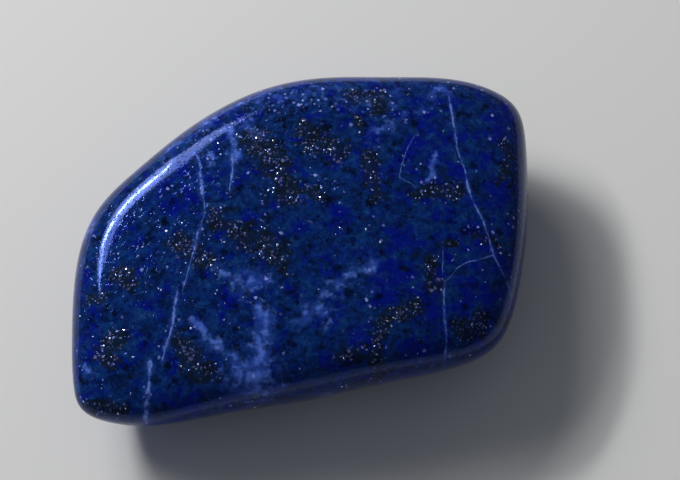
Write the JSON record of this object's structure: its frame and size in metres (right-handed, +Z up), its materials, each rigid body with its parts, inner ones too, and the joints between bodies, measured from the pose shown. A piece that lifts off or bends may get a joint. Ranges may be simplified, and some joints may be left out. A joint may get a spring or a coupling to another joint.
{
  "type": "polished lapis lazuli stone",
  "caption": "Tumble-polished lapis lazuli freeform: a thick rounded slab of deep blue stone with pyrite flecks and pale calcite veins.",
  "frame": {"origin": "on the small worn flat that the stone rests on, under the middle of its bounding box", "axes": "+X along the stone's length, +Y towards the edge that is away from the viewer, +Z up"},
  "size_m": [0.045, 0.0366, 0.0137],
  "materials": {
    "lapis": "tumble-polished, mottled deep blue with pale calcite veins and pyrite flecks"
  },
  "bodies": {
    "root": {"stone": "lapis"}
  },
  "joints": []
}
